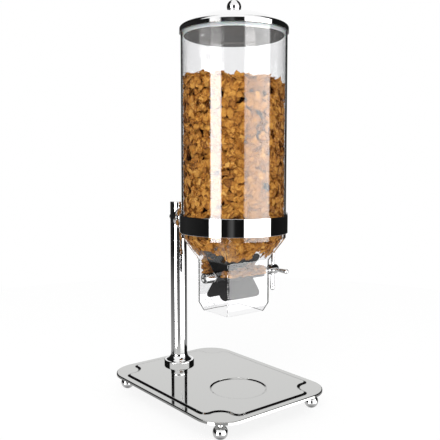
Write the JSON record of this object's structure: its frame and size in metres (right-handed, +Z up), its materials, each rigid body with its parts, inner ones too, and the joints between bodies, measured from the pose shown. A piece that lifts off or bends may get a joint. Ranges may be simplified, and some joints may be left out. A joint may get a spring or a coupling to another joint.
{
  "type": "cereal dispenser",
  "caption": "Countertop dry food dispenser: clear canister in a polished ring beside a column, paddle wheel with cross handle below, lift-off domed lid, plate on ball feet.",
  "frame": {"origin": "on the table under the middle of the base plate", "axes": "+Z up, -Y to the front where the bowl stands, +X to the side of the cross handle"},
  "size_m": [0.233, 0.302, 0.6228],
  "materials": {
    "chrome": "mirror-polished chrome plate",
    "lid_steel": "polished stainless sheet, softly spun on the pan",
    "plain_steel": "plain steel fastener",
    "clear_plastic": "clear moulded plastic, glossy",
    "silicone": "black food-grade silicone, satin",
    "seal": "translucent white silicone",
    "bush_plastic": "natural acetal",
    "cereal": "toasted wheat flakes"
  },
  "bodies": {
    "stand": {"base_plate": "chrome", "foot_front_left": "chrome", "foot_front_right": "chrome", "foot_back_left": "chrome", "foot_back_right": "chrome", "foot_stud_front_left": "plain_steel", "foot_stud_front_right": "plain_steel", "foot_stud_back_left": "plain_steel", "foot_stud_back_right": "plain_steel", "column_tube": "chrome", "column_plug": "plain_steel", "column_cap": "chrome", "column_collar": "chrome", "column_washer": "plain_steel", "column_bolt": "plain_steel", "holder_ring": "chrome", "bracket_arm": "chrome", "bracket_washer": "chrome", "bracket_bolt": "chrome", "canister_tube": "clear_plastic", "hopper": "clear_plastic", "shaft_bush_left": "bush_plastic", "shaft_bush_right": "bush_plastic", "cereal_fill": "cereal"},
    "paddle_wheel": {"drive_shaft": "plain_steel", "rotor_core": "silicone", "vane_1": "silicone", "vane_2": "silicone", "vane_3": "silicone", "vane_4": "silicone", "vane_5": "silicone", "vane_6": "silicone", "handle_sleeve": "chrome", "handle_hub": "chrome", "handle_arm_1": "chrome", "handle_arm_2": "chrome", "handle_arm_3": "chrome", "handle_arm_4": "chrome", "retaining_knob": "chrome"},
    "lid": {"lid_dome": "lid_steel", "lid_pan": "lid_steel", "lid_seal": "seal", "lid_knob": "chrome", "lid_screw": "plain_steel"}
  },
  "joints": [
    {"name": "wheel_turn", "type": "hinge", "parent": "stand", "child": "paddle_wheel", "pos_m": [0, -0.0449, 0.209], "axis": [1, 0, 0], "continuous": true},
    {"name": "lid_lift", "type": "slide", "parent": "stand", "child": "lid", "axis": [0, 0, 1], "range_m": [0, 0.12]}
  ]
}
